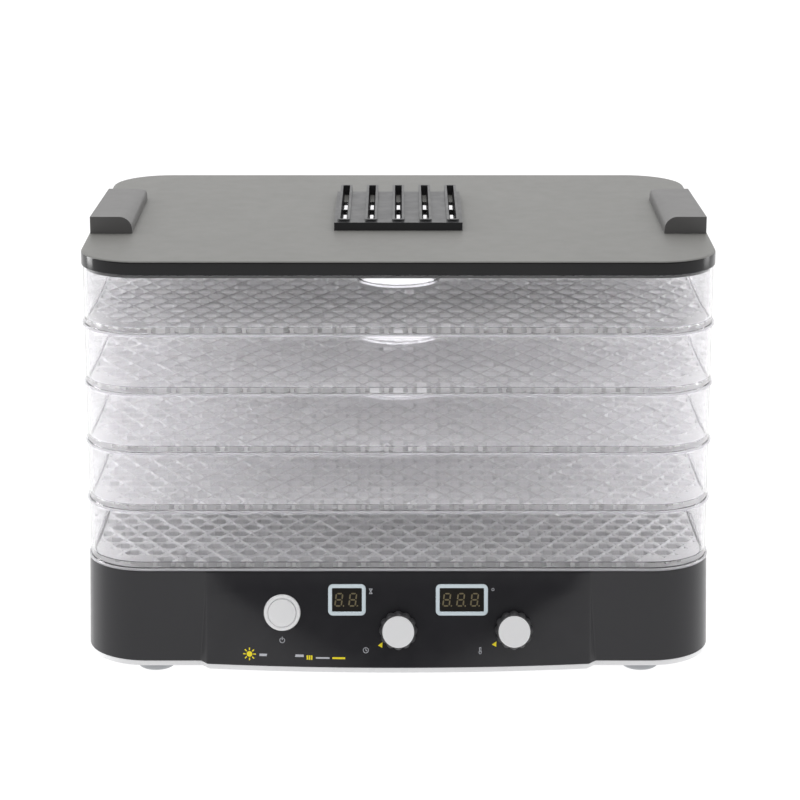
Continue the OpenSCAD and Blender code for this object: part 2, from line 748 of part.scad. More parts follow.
module vent_grille() {
  mid = (slot_front + slot_back) / 2;
  color("#3d3d40") centred() difference() {
    union() {
      // raised block with a ramp at the back
      translate([-vent_x, 0, 0]) rotate([90, 0, 90]) linear_extrude(height = 2 * vent_x) polygon([
        [vent_front, lid_top + 0.02], [vent_back, lid_top + 0.02], [vent_back, lid_top + 0.3],
        [vent_flat, lid_top + vent_h], [vent_front, lid_top + vent_h]]);
      // plug in the lid's opening
      translate([-vent_x + 2.7, vent_front + 3.2, grille_low])
        cube([2 * vent_x - 5.4, vent_back - vent_front - 6.4, plate_t + 0.1]);
      // rims of the slots
      for (i = [0:slot_count - 1]) translate([(i - (slot_count - 1) / 2) * slot_pitch, mid, lid_top])
        linear_extrude(height = vent_h + rim_h)
          rounded_rect([rim_w, slot_back - slot_front + 5, 2.4]);
    }
    difference() {
      slot_cut();
      translate([-vent_x, mid - 0.8, grille_low - 2]) cube([2 * vent_x, 1.6, 5.7]);
    }
  }
}

// one hand grip on the right side of the lid, lower at its back end
module grip_form(wall) {
  round_r = 9 - wall;
  x0 = grip_in + wall;
  x1 = grip_out - wall;
  top = lid_top + grip_front_h - wall;
  low = lid_top + (wall > 0 ? -1 : 0.02);
  intersection() {
    translate([0, grip_back - wall, 0]) rotate([90, 0, 0])
      linear_extrude(height = grip_back - grip_front - 2 * wall) union() {
        translate([x0 + round_r, low]) square([x1 - x0 - round_r, top - low]);
        translate([x0, low]) square([x1 - x0, top - low - round_r]);
        translate([x0 + round_r, top - round_r]) circle(round_r);
      }
    // lower towards the back
    rotate([90, 0, 90]) translate([0, 0, 150]) linear_extrude(height = 100) polygon([
      [grip_front, low], [grip_back, low],
      [grip_back, lid_top + grip_back_h - wall], [grip_front, lid_top + grip_front_h - wall]]);
    // rounded back corner
    translate([0, 0, low - 1]) linear_extrude(height = 40) union() {
      translate([x0, grip_front]) square([x1 - x0, grip_back - wall - grip_front - round_r]);
      translate([x0 + round_r, grip_front]) square([x1 - x0 - round_r, grip_back - wall - grip_front]);
      translate([x0 + round_r, grip_back - wall - round_r]) circle(round_r);
    }
  }
}

grip_screw_xy = [for (sx = [-1, 1], y = [-40, 40]) [sx * 202, y]];

module lid_grip() {
  difference() {
    union() {
      difference() {
        grip_form(0);
        grip_form(2.4);
      }
      for (p = grip_screw_xy) if (p[0] > 0) intersection() {
        grip_form(0);
        translate([p[0], p[1], lid_top]) cylinder(d = 7, h = 30);
      }
    }
    for (p = grip_screw_xy) if (p[0] > 0) translate([p[0], p[1], lid_top - 1]) cylinder(d = 2.4, h = 6);
  }
}

module lid_grip_right() { color("#6a6b6d") centred() lid_grip(); }
module lid_grip_left() { color("#6a6b6d") centred() mirror([1, 0, 0]) lid_grip(); }

module grip_screws() {
  color("silver") centred() for (p = grip_screw_xy)
    translate([p[0], p[1], lid_top - plate_t - 0.05]) screw(2.3, 5, 6.5);
}

base_housing();
bottom_pan();
feet();
pan_screws();
filter_cover();
air_filter();
air_duct();
duct_screws();
motor_bracket();
fan_motor();
motor_shaft();
fan_impeller();
heater_frame();
heater_coil();
thermal_cutout();
power_inlet();
inlet_screws();
control_board();
board_screws();
power_switch();
button_spring();
power_button();
power_button_ring();
timer_display();
timer_display_bezel();
temp_display();
temp_display_bezel();
timer_encoder();
timer_shaft();
timer_knob();
timer_knob_cap();
temp_encoder();
temp_shaft();
temp_knob();
temp_knob_cap();
wiring();
tray_1();
tray_2();
tray_3();
tray_4();
tray_5();
tray_1_lattice();
tray_2_lattice();
tray_3_lattice();
tray_4_lattice();
tray_5_lattice();
lid();
vent_grille();
lid_grip_left();
lid_grip_right();
grip_screws();
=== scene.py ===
import json
import math

import bmesh
import bpy
from mathutils import Matrix, Vector
from mathutils.geometry import delaunay_2d_cdt


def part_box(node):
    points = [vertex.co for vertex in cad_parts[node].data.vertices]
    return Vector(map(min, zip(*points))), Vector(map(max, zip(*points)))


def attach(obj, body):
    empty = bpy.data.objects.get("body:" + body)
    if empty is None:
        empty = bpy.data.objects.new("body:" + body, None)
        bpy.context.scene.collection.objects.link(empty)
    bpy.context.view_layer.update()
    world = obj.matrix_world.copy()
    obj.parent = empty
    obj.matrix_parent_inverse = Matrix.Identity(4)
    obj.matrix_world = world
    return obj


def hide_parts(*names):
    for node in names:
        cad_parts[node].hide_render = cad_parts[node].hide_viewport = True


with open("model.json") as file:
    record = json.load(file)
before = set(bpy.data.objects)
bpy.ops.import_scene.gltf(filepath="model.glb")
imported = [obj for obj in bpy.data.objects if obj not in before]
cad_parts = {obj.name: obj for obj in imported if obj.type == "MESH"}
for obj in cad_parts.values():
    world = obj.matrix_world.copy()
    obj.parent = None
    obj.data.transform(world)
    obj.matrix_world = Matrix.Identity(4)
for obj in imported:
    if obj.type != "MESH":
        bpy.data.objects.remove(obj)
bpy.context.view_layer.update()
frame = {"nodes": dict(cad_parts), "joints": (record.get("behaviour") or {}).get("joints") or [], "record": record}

# A five-tray food dehydrator. Sizes below are millimetres, and pieces are drawn around
# the middle of the trays. put() turns them into metres and moves them into the frame.
MM = 0.001


def span(node):
    """Lowest and highest corner of a CAD node, in millimetres."""
    low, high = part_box(node)
    return low / MM, high / MM


# ---------- driving sizes, taken from the frame ----------

tray_low, tray_high = span("tray_1")
MID_Y = (tray_low.y + tray_high.y) / 2     # middle of the trays
TRAY_TOPS = [span(f"tray_{k}")[1].z for k in range(1, 6)]
PITCH = TRAY_TOPS[1] - TRAY_TOPS[0]        # from one tray to the next
SEAT_Z = TRAY_TOPS[0] - PITCH              # where the lowest tray stands
DUCT_DROP = SEAT_Z - tray_low.z            # how far a tray's duct reaches below it
LIP_OUT = 1.5                              # how far its lip stands out from its wall
WALL_X = tray_high.x - LIP_OUT             # outer face of the wall
WALL_Y = tray_high.y - MID_Y - LIP_OUT
WALL_R = 41.0                              # radius of the wall's corners
WALL_T = 2.0
DUCT_R = 30.5                              # outer radius of the duct
DUCT_T = 1.8

lid_low, lid_high = span("lid")
LID_X = lid_high.x
LID_Y = lid_high.y - MID_Y
LID_R = 42.0
LID_TOP = lid_high.z
LID_Z = TRAY_TOPS[-1]                      # foot of the lid's skirt

base_low, base_high = span("base_housing")
FLARE = 1.7                                # how far each side leans out from rim to foot
SHELL_Z = base_low.z                       # foot of the housing
RIM_X = base_high.x - FLARE
RIM_Y = base_high.y - MID_Y - FLARE
RIM_R = 42.0
BULGE_MID = MID_Y - base_low.y - RIM_Y     # how far the panel's foot bows out in its middle
BULGE_END = 8.0                            # and at its two ends
PANEL_HALF = 134.0                         # half the width of the panel
FACET = 5.0                                # how wide the strip beside it is at its foot
DUCT_FLANGE = 1.6                          # the flange that lies on the deck
DECK_Z = span("air_duct")[1].z - DUCT_FLANGE
RIM_STEP = 0.95                            # height of the ring that the lowest tray stands on
PANEL_DROP = 2.0                           # from the rim down to the panel's top edge


def joint(name):
    """A joint of the frame."""
    return next(j for j in frame["joints"] if j["name"] == name)


RIM_Z = base_high.z - RIM_STEP
PANEL_TOP = RIM_Z - PANEL_DROP
LEAN = math.asin(Vector(joint("timer_turn")["axis"]).normalized().z)


def panel_share(z):
    """0 at the panel's straight top edge and 1 at its bowed foot."""
    return min(max((PANEL_TOP - z) / (PANEL_TOP - SHELL_Z), 0.0), 1.0)


def panel_y(x, share):
    """Where the panel's face is. It is flat in the middle and turns as a cone towards each end."""
    foot_x = max(0.0, (abs(x) - PANEL_HALF * (1 - share)) / max(share, 1e-6))
    return -RIM_Y - share * (BULGE_MID - (BULGE_MID - BULGE_END) * (foot_x / PANEL_HALF) ** 2)


def on_panel(x, z):
    """A frame on the control panel: local Z points out of it, local Y runs up it."""
    place = Matrix.Translation((x, panel_y(x, panel_share(z)), z))
    return place @ Matrix.Rotation(math.pi / 2 - LEAN, 4, "X")


# ---------- meshes ----------


def put(name, verts, faces, body, slot, materials, nodes=(), corner=32, place=None, fill=None):
    """A piece from points in millimetres. corner is the angle above which an edge stays sharp."""
    mesh = bpy.data.meshes.new(name)
    if place is not None:
        verts = [place @ Vector(v) for v in verts]
    mesh.from_pydata([(x * MM, (y + MID_Y) * MM, z * MM) for x, y, z in verts], [], faces)
    for material in materials:
        mesh.materials.append(material)
    if fill:
        for face in mesh.polygons:
            face.material_index = fill(face)
    bm = bmesh.new()
    bm.from_mesh(mesh)
    bmesh.ops.remove_doubles(bm, verts=bm.verts, dist=2e-6)
    bmesh.ops.recalc_face_normals(bm, faces=bm.faces)
    bm.to_mesh(mesh)
    bm.free()
    mesh.shade_smooth()
    mesh.set_sharp_from_angle(angle=math.radians(corner))
    obj = bpy.data.objects.new(name, mesh)
    bpy.context.scene.collection.objects.link(obj)
    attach(obj, body)
    if nodes:
        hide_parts(*nodes)
    return obj


def loft(rings, close=False, caps=False):
    """Points and faces that join rings with the same number of points."""
    n = len(rings[0])
    faces = []
    for a in range(len(rings) if close else len(rings) - 1):
        b = (a + 1) % len(rings)
        for i in range(n):
            j = (i + 1) % n
            faces.append((a * n + i, a * n + j, b * n + j, b * n + i))
    if caps:
        faces.append(tuple(reversed(range(n))))
        faces.append(tuple(range((len(rings) - 1) * n, len(rings) * n)))
    return [p for ring in rings for p in ring], faces


def join(*parts):
    """Several (points, faces) pairs as one."""
    verts, faces = [], []
    for more, polygons in parts:
        start = len(verts)
        verts += more
        faces += [tuple(i + start for i in polygon) for polygon in polygons]
    return verts, faces


def rounded(half_x, half_y, r, steps=12):
    """Outline of a rounded rectangle, anticlockwise from the right."""
    points = []
    for quarter, (sx, sy) in enumerate(((1, 1), (-1, 1), (-1, -1), (1, -1))):
        for i in range(steps + 1):
            a = math.radians(90 * (quarter + i / steps))
            points.append((sx * (half_x - r) + r * math.cos(a),
                           sy * (half_y - r) + r * math.sin(a)))
    return points


def at(outline, z):
    """A flat outline at a height."""
    return [(x, y, z) for x, y in outline]


def circle(r, z, n=64):
    """Points on a circle about the Z axis."""
    return [(r * math.cos(math.tau * i / n), r * math.sin(math.tau * i / n), z) for i in range(n)]


def lathe(profile, n=64):
    """A closed solid turned about Z. Its (radius, height) pairs start and end near the axis."""
    return loft([circle(max(r, 0.01), z, n) for r, z in profile], caps=True)


def bevel(obj, width, segments, angle, weld=False):
    """Rounded edges. weld first joins the points that the faces of a CAD mesh don't share."""
    if weld:
        obj.modifiers.new("weld", "WELD").merge_threshold = 1e-5
    m = obj.modifiers.new("bevel", "BEVEL")
    m.width = width * MM
    m.segments = segments
    m.limit_method = "ANGLE"
    m.angle_limit = math.radians(angle)
    m.harden_normals = True
    return obj


# ---------- materials ----------


def shader(name, color, rough, metallic=0.0, specular=0.5):
    """A new material, its node tree and its Principled shader."""
    material = bpy.data.materials.new(name)
    material.use_nodes = True
    tree = material.node_tree
    principled = tree.nodes["Principled BSDF"]
    principled.inputs["Base Color"].default_value = (*color, 1)
    principled.inputs["Roughness"].default_value = rough
    principled.inputs["Metallic"].default_value = metallic
    principled.inputs["Specular IOR Level"].default_value = specular
    return material, tree, principled


def noise(tree, scale, detail, stretch=(1, 1, 1)):
    """Factor of a noise in object space. scale counts waves per metre."""
    coords = tree.nodes.new("ShaderNodeTexCoord")
    mapping = tree.nodes.new("ShaderNodeMapping")
    mapping.inputs["Scale"].default_value = stretch
    texture = tree.nodes.new("ShaderNodeTexNoise")
    texture.inputs["Scale"].default_value = scale
    texture.inputs["Detail"].default_value = detail
    tree.links.new(coords.outputs["Object"], mapping.inputs["Vector"])
    tree.links.new(mapping.outputs["Vector"], texture.inputs["Vector"])
    return texture.outputs["Fac"]


def ranged(tree, value, low, high, start=0.3, end=0.7):
    """value, spread over low to high."""
    node = tree.nodes.new("ShaderNodeMapRange")
    node.inputs["From Min"].default_value = start
    node.inputs["From Max"].default_value = end
    node.inputs["To Min"].default_value = low
    node.inputs["To Max"].default_value = high
    tree.links.new(value, node.inputs["Value"])
    return node.outputs["Result"]


def tinted(tree, value, dark, light):
    """A colour between dark and light."""
    node = tree.nodes.new("ShaderNodeMix")
    node.data_type = "RGBA"
    node.inputs["A"].default_value = (*dark, 1)
    node.inputs["B"].default_value = (*light, 1)
    tree.links.new(value, node.inputs["Factor"])
    return node.outputs["Result"]


def raise_bump(tree, principled, height, depth):
    """Bump of that depth in millimetres."""
    bump = tree.nodes.new("ShaderNodeBump")
    bump.inputs["Distance"].default_value = depth * MM
    tree.links.new(height, bump.inputs["Height"])
    tree.links.new(bump.outputs["Normal"], principled.inputs["Normal"])


BROAD_WAVES = 22                           # waves per metre of the unevenness in colour
GLOSS_WAVES = 90                           # and of the unevenness in gloss


def moulded(name, color, rough, spread, grain, depth, shade=0.06, specular=0.5, metallic=0.0,
            stretch=(1, 1, 1)):
    """Moulded plastic, rubber or metal: a little unevenness in colour and gloss, and a fine grain.

    spread is how far the roughness strays, grain counts waves per metre, depth is in millimetres.
    """
    material, tree, principled = shader(name, color, rough, metallic, specular)
    broad = noise(tree, BROAD_WAVES, 4, stretch)
    dark = [c * (1 - shade) for c in color]
    light = [min(c * (1 + shade), 1) for c in color]
    tint = tinted(tree, ranged(tree, broad, 0, 1), dark, light)
    tree.links.new(tint, principled.inputs["Base Color"])
    fine = noise(tree, grain, 2, stretch)
    gloss = ranged(tree, noise(tree, GLOSS_WAVES, 5, stretch), rough - spread, rough + spread)
    tree.links.new(gloss, principled.inputs["Roughness"])
    raise_bump(tree, principled, fine, depth)
    return material


def clear(name, color, rough, through=1.0):
    """Clear moulded polycarbonate. Below 1, through makes it a little milky."""
    material, tree, principled = shader(name, color, rough)
    principled.inputs["Transmission Weight"].default_value = through
    principled.inputs["IOR"].default_value = 1.5
    gloss = ranged(tree, noise(tree, 60, 4), rough * 0.6, rough * 1.4)
    tree.links.new(gloss, principled.inputs["Roughness"])
    raise_bump(tree, principled, noise(tree, 120, 3), 0.03)
    return material


TRAY_CLEAR = clear("clear polycarbonate", (0.955, 0.95, 0.965), 0.04)
# the ribs and the lip are milky copies of the clear polycarbonate, as painted light: the ribs stand in for the
# light their edges catch, and the lip for the bright line along it
TRAY_RIBS_LIT = clear("milky lattice ribs, painted light", (1.0, 0.996, 1.0), 0.08, 0.45)
TRAY_LIP_LIT = clear("milky tray lip, painted highlight", (0.9, 0.89, 0.92), 0.1, 0.7)
HOUSING = moulded("satin black housing", (0.01, 0.0095, 0.0125), 0.24, 0.03, 1600, 0.005, 0.06, 0.5)
LID_SIDE = moulded("glossy black lid edge", (0.006, 0.0058, 0.0065), 0.16, 0.04, 900, 0.003,
                   0.06, 0.3)
# the lid's grained top gets a grey base colour: painted sheen from the light above, on plastic that is the black
# of the lid's edge
LID_TOP_SHEEN = moulded("grained black lid, painted sheen", (0.135, 0.134, 0.127), 0.5, 0.02, 1300, 0.05, 0.03, 0.25)
# the grips get the same grey as the lid's top: painted sheen and light on their top and front, on the lid's black
# plastic
GRIP_SHEEN = moulded("satin black grip, painted sheen", (0.13, 0.128, 0.127), 0.5, 0.02, 1500, 0.03, 0.03, 0.12)
GRILLE = moulded("black grille", (0.03, 0.03, 0.032), 0.4, 0.04, 1200, 0.01, 0.06, 0.3)
WHITE = moulded("white pan", (0.86, 0.86, 0.87), 0.3, 0.05, 700, 0.01, 0.02)
BUTTON_WHITE = moulded("white button", (0.84, 0.84, 0.85), 0.34, 0.04, 1800, 0.006, 0.02)
BUTTON_RING = moulded("white ring", (0.88, 0.88, 0.89), 0.28, 0.04, 1800, 0.004, 0.02)
CAP = moulded("white knob cap", (0.8, 0.8, 0.81), 0.4, 0.04, 1500, 0.012, 0.02)
KNOB = moulded("black knob", (0.045, 0.044, 0.047), 0.4, 0.06, 1400, 0.012)
BEZEL = moulded("pale display bezel", (0.68, 0.77, 0.82), 0.3, 0.04, 1200, 0.006, 0.02)
WINDOW = moulded("smoked window", (0.01, 0.008, 0.006), 0.12, 0.02, 300, 0.002)
SEGMENT = moulded("unlit segment", (0.16, 0.13, 0.065), 0.5, 0.05, 900, 0.004)
MARK_GREY = moulded("grey print", (0.55, 0.56, 0.6), 0.5, 0.05, 2500, 0.004)
MARK_YELLOW = moulded("yellow print", (0.95, 0.78, 0.01), 0.5, 0.05, 2500, 0.004)
FOOT = moulded("grey rubber", (0.42, 0.43, 0.45), 0.7, 0.06, 1500, 0.03)
DUCT = moulded("grey duct", (0.6, 0.61, 0.63), 0.45, 0.06, 900, 0.01)
COVER = moulded("white cover", (0.78, 0.79, 0.8), 0.4, 0.05, 900, 0.01)
FELT = moulded("filter felt", (0.72, 0.72, 0.72), 0.95, 0.04, 2600, 0.12, 0.12, 0.2)
STEEL = moulded("plated steel", (0.55, 0.55, 0.57), 0.28, 0.08, 900, 0.01, 0.05, 0.5, 1.0)
BRACKET = moulded("pressed steel", (0.48, 0.48, 0.5), 0.4, 0.08, 500, 0.02, 0.08, 0.5, 1.0,
                  (1, 6, 1))
MICA = moulded("mica", (0.62, 0.52, 0.34), 0.5, 0.1, 260, 0.05, 0.2, 0.5, 0.0, (1, 1, 4))
HEATER = moulded("oxidised heater wire", (0.42, 0.26, 0.16), 0.45, 0.1, 1500, 0.02, 0.25, 0.5, 1.0)
BOARD = moulded("green solder mask", (0.012, 0.12, 0.045), 0.25, 0.06, 500, 0.02, 0.2)
DARK = moulded("dark plastic", (0.03, 0.03, 0.034), 0.4, 0.06, 900, 0.012)
WIRE = moulded("brown cable sheath", (0.16, 0.07, 0.03), 0.5, 0.06, 800, 0.02)

SLOT_MATERIALS = {
    "housing_black": HOUSING, "pan_white": WHITE, "foot_rubber": FOOT, "screw_steel": STEEL,
    "filter_white": FELT, "cover_white": COVER, "duct_grey": DUCT, "bracket_steel": BRACKET,
    "motor_can": BRACKET, "impeller_grey": DARK, "mica": MICA, "heater_wire": HEATER,
    "inlet_black": DARK, "board_green": BOARD, "switch_grey": DARK, "spring_steel": STEEL,
    "button_white": BUTTON_WHITE, "bezel_pale": BEZEL, "display_dark": WINDOW,
    "encoder_metal": BRACKET, "shaft_steel": STEEL, "knob_black": KNOB, "cap_white": CAP,
    "wire_brown": WIRE, "tray_clear": TRAY_CLEAR, "lid_grey": LID_TOP_SHEEN, "grille_black": GRILLE,
}

for part in frame["record"]["subparts"]:
    cad = frame["nodes"][part["node"]]
    cad.data.materials.clear()
    cad.data.materials.append(SLOT_MATERIALS[part["material_slot"]])


# ---------- trays ----------

CELL = 16.2                                # pitch of the lattice along a row
ROW = CELL * math.sqrt(3) / 2              # distance between its rows
RIB = 2.9                                  # width of a rib
HEAVY_RIB = 3.8
HEAVY_LINES = (0, -2, -6)                  # which slanting ribs are the heavy ones
FLOOR_LOW = 0.6
FLOOR_TOP = 4.6
LIP_RINGS = (8, 14)                        # which rings of the wall's outline are its lip
CORNER_STEPS = 14                          # steps in each corner of the wall's outline
SHOULDER = 0.75                            # slope at the top of a rib, in and down
RIM_IN = 3.95                              # from the wall's outer face to the floor
RIM_GAP = 0.35                             # between the nesting rim and the wall around it
DUCT_MARGIN = 1.2                          # no opening comes nearer to the duct than this
LEAST_HOLE = 2.0                           # smaller openings than this, in mm2, are filled


def clipped(polygon, normal, offset):
    """The part of a convex polygon where normal . p >= offset."""
    result = []
    for i, p in enumerate(polygon):
        q = polygon[(i + 1) % len(polygon)]
        dp = normal[0] * p[0] + normal[1] * p[1] - offset
        dq = normal[0] * q[0] + normal[1] * q[1] - offset
        if dp >= 0:
            result.append(p)
        if dp * dq < 0:
            t = dp / (dp - dq)
            result.append((p[0] + t * (q[0] - p[0]), p[1] + t * (q[1] - p[1])))
    return result


def area(polygon):
    """Area of an anticlockwise polygon."""
    return sum(p[0] * q[1] - q[0] * p[1] for p, q in zip(polygon, polygon[1:] + polygon[:1])) / 2


def cell_hole(cx, cy):
    """The opening around a point, between the ribs that surround it."""
    hole = [(cx - CELL, cy - CELL), (cx + CELL, cy - CELL),
            (cx + CELL, cy + CELL), (cx - CELL, cy + CELL)]
    for angle, shift, heavy in ((-30, 0.5, 1), (30, 0.5, -1), (90, 0.5, 0)):
        nx, ny = math.cos(math.radians(angle)), math.sin(math.radians(angle))
        place = (nx * cx + ny * cy) / ROW - shift
        for line, side in ((math.floor(place), 1), (math.floor(place) + 1, -1)):
            is_heavy = ((heavy == 1 and line in HEAVY_LINES)
                        or (heavy == -1 and -line - 1 in HEAVY_LINES))
            half = (HEAVY_RIB if is_heavy else RIB) / 2
            offset = (line + shift) * ROW
            hole = clipped(hole, (side * nx, side * ny), side * offset + half)
            if not hole:
                return hole
    return hole


def tray_holes():
    """Every opening of a tray's lattice floor."""
    edge_x, edge_y = WALL_X - RIM_IN - 1, WALL_Y - RIM_IN - 1
    corner = WALL_R - RIM_IN - 1
    sides = ((-1, 0, edge_x), (1, 0, edge_x), (0, -1, edge_y), (0, 1, edge_y))
    holes = []
    rows = int(edge_y / ROW) + 2
    columns = int(edge_x / CELL) + 2
    for j in range(-rows, rows + 1):
        for i in range(-columns, columns + 1):
            cx = (i + (j % 2) / 2) * CELL
            cy = j * ROW
            for px, py in ((cx, cy), (cx + CELL / 2, cy + ROW / 3), (cx + CELL / 2, cy - ROW / 3)):
                hole = cell_hole(px, py)
                for nx, ny, edge in sides:
                    hole = clipped(hole, (nx, ny), -edge) if hole else hole
                if len(hole) < 3 or area(hole) < LEAST_HOLE:
                    continue
                over = [(max(abs(x) - edge_x + corner, 0), max(abs(y) - edge_y + corner, 0))
                        for x, y in hole]
                if max(math.hypot(*p) for p in over) > corner:
                    continue
                if min(math.hypot(x, y) for x, y in hole) < DUCT_R + DUCT_MARGIN:
                    continue
                holes.append(hole)
    return holes


def widened(polygon, by):
    """A convex polygon whose sides have moved outwards."""
    sides = []
    for p, q in zip(polygon, polygon[1:] + polygon[:1]):
        along = Vector((q[0] - p[0], q[1] - p[1])).normalized()
        sides.append((Vector((along.y, -along.x)), Vector(p), along))
    points = []
    for (n1, p, a1), (n2, q, a2) in zip(sides[-1:] + sides[:-1], sides):
        turn = a1.x * a2.y - a1.y * a2.x
        if abs(turn) < 1e-4:
            points.append(tuple(q + n2 * by))
            continue
        start, gap = p + n1 * by, (q + n2 * by) - (p + n1 * by)
        points.append(tuple(start + a1 * ((gap.x * a2.y - gap.y * a2.x) / turn)))
    return points


def sheet_with_holes(outer, inner, holes, z):
    """A flat sheet between two outlines, with holes."""
    loops = [outer, inner] + holes
    points, edges, cells = [], [], []
    for loop in loops:
        start = len(points)
        points += loop
        edges += [(start + i, start + (i + 1) % len(loop)) for i in range(len(loop))]
        cells.append(list(range(start, start + len(loop))))
    flat, _, triangles, _, _, source = delaunay_2d_cdt([Vector(p) for p in points], edges, cells,
                                                       0, 1e-4)
    faces = [tuple(t) for t, over in zip(triangles, source) if over == [0]]
    return [(p.x, p.y, z) for p in flat], faces


def lattice(outer, inner, holes):
    """The floor of a tray. Its ribs have sloping shoulders, which catch the light."""
    wide = [widened(hole, SHOULDER) for hole in holes]
    walls = [loft([at(w, FLOOR_TOP), at(h, FLOOR_TOP - SHOULDER), at(h, FLOOR_LOW)])
             for w, h in zip(wide, holes)]
    return join(sheet_with_holes(outer, inner, wide, FLOOR_TOP),
                sheet_with_holes(outer, inner, holes, FLOOR_LOW), *walls)


def tray_mesh():
    """One tray, standing on z = 0: wall, lip, nesting rim, duct and lattice floor.

    Also gives the index of the floor's first face.
    """
    wall = [(-RIM_IN, FLOOR_TOP), (-WALL_T - 0.5, FLOOR_TOP), (-WALL_T, FLOOR_TOP + 0.5),
            (-WALL_T, PITCH - 0.4), (-WALL_T + 0.4, PITCH), (-0.4, PITCH), (0, PITCH - 0.4),
            (0, 1.2), (0.3, 0.8), (LIP_OUT - 0.3, 0.7), (LIP_OUT, 0.4), (LIP_OUT, -0.6),
            (LIP_OUT - 0.3, -0.9), (RIM_GAP, -0.9), (RIM_GAP, 0), (-WALL_T - RIM_GAP, 0),
            (-WALL_T - RIM_GAP, -2.7), (-WALL_T - 0.6, -3), (-RIM_IN, -3), (-RIM_IN, FLOOR_LOW)]
    rings = [at(rounded(WALL_X + o, WALL_Y + o, WALL_R + o, CORNER_STEPS), z) for o, z in wall]
    r, bore = DUCT_R, DUCT_R - DUCT_T
    duct = [(r, FLOOR_TOP), (r, 6.1), (r - 0.4, 6.5), (bore + 0.4, 6.5), (bore, 6.1),
            (bore, -DUCT_DROP + 0.4), (bore + 0.4, -DUCT_DROP), (r - 0.4, -DUCT_DROP),
            (r, -DUCT_DROP + 0.4), (r, FLOOR_LOW)]
    floor = lattice(rounded(WALL_X - RIM_IN, WALL_Y - RIM_IN, WALL_R - RIM_IN, CORNER_STEPS),
                    [p[:2] for p in circle(DUCT_R, 0)], tray_holes())
    smooth = join(loft(rings), loft([circle(a, z) for a, z in duct]))
    return (*join(smooth, floor), len(smooth[1]))


def tray_material(index, floor_start):
    """Which of the tray's materials a face has: 0 clear, 1 milky ribs or 2 milky lip. Ribs and lip are milky as
    painted light.
    """
    around = 4 * (CORNER_STEPS + 1)
    if index >= floor_start:
        return 1
    return 2 if LIP_RINGS[0] <= index // around < LIP_RINGS[1] else 0


def make_trays():
    """Five trays from one mesh, each on its own body."""
    verts, faces, floor_start = tray_mesh()

    def fill(face):
        return tray_material(face.index, floor_start)

    for level, top in enumerate(TRAY_TOPS, 1):
        put(f"tray_{level}_clear", verts, faces, f"tray_level_{level}", "tray_clear",
            [TRAY_CLEAR, TRAY_RIBS_LIT, TRAY_LIP_LIT], (f"tray_{level}", f"tray_{level}_lattice"),
            corner=25, place=Matrix.Translation((0, 0, top - PITCH)), fill=fill)


make_trays()


# ---------- lid, vent and grips ----------

VENT_OPENING = ((-43.0, -51.0), (43.0, 77.0))   # lowest and highest x and y, hidden by the grille


def make_lid():
    """Top plate with a rounded edge, straight skirt, nesting rim and the opening of the vent."""
    edge, soft, plate = 1.6, 0.4, 2.5
    skirt = [(-soft, LID_Z), (0, LID_Z + soft), (0, LID_TOP - edge)]
    skirt += [(-edge * (1 - math.cos(a)), LID_TOP - edge * (1 - math.sin(a)))
              for a in (math.radians(15 * i) for i in range(1, 7))]
    skirt += [(-4, LID_TOP)]
    rings = [at(rounded(LID_X + o, LID_Y + o, LID_R + o), z) for o, z in skirt]
    hole_low, hole_high = VENT_OPENING
    hole = opening_outline(rings[0], hole_low, hole_high)
    rings += [at(hole, LID_TOP), at(hole, LID_TOP - plate)]
    inward = WALL_T + RIM_GAP
    nest_x, nest_y, nest_r = WALL_X - inward, WALL_Y - inward, WALL_R - inward
    for o, z in ((-1.6, LID_TOP - plate), (-1.6, lid_low.z + 0.3), (-1.3, lid_low.z),
                 (-0.3, lid_low.z), (0, lid_low.z + 0.3), (0, LID_Z)):
        rings.append(at(rounded(nest_x + o, nest_y + o, nest_r + o), z))
    verts, faces = loft(rings, close=True)
    # faces above this height (the flat top and the upper part of the rounded edge) get the grey painted sheen, and
    # the rest stays black
    sheen_from = LID_TOP - edge * 0.45
    put("lid_shell", verts, faces, "lid_assembly", "lid_grey", [LID_SIDE, LID_TOP_SHEEN], ("lid",),
        corner=40, fill=lambda face: 1 if face.center.z / MM > sheen_from else 0)


def opening_outline(ring, low, high):
    """A rectangle with one point for each point of ring, in the same direction from its middle."""
    cx, cy = (low[0] + high[0]) / 2, (low[1] + high[1]) / 2
    hx, hy = (high[0] - low[0]) / 2, (high[1] - low[1]) / 2
    points = []
    for x, y, _ in ring:
        dx, dy = x - cx, y - cy
        reach = max(abs(dx) / hx, abs(dy) / hy)
        points.append((cx + dx / reach, cy + dy / reach))
    return points


def make_grip(side, name):
    """A wedge with a quarter-round inner edge, lower at its back end."""
    low, high = span(name)
    inner = low.x if side > 0 else -high.x
    outer = high.x if side > 0 else -low.x
    front, back = low.y - MID_Y, high.y - MID_Y
    lift = 0.02                            # keeps the grip's foot off the lid's own face
    tall = high.z - LID_TOP - lift
    short = 6.4
    round_r = 9.0
    stations = [front] + [back - round_r + round_r * math.sin(math.radians(a))
                          for a in (0, 20, 40, 60, 75, 90)]
    rings = []
    for y in stations:
        over = max(y - (back - round_r), 0)
        shift = round_r - math.sqrt(max(round_r ** 2 - over ** 2, 0))
        height = tall + (short - tall) * (y - front) / (back - front)
        x0 = inner + shift
        ring = [(outer, 0.0), (outer, height)]
        for i in range(9):
            a = math.radians(90 + 90 * i / 8)
            ring.append((x0 + round_r + round_r * math.cos(a),
                         min(tall - round_r + round_r * math.sin(a), height)))
        ring.append((x0, 0.0))
        rings.append([(side * x, y, LID_TOP + lift + z) for x, z in ring])
    verts, faces = loft(rings, caps=True)
    grip = put(f"{name}_moulding", verts, faces, "lid_assembly", "lid_grey", [GRIP_SHEEN], (name,),
               corner=30)
    bevel(grip, 0.7, 3, 40)


make_lid()
make_grip(1, "lid_grip_right")
make_grip(-1, "lid_grip_left")
bevel(frame["nodes"]["vent_grille"], 0.35, 2, 30, weld=True)

# ---------- base ----------

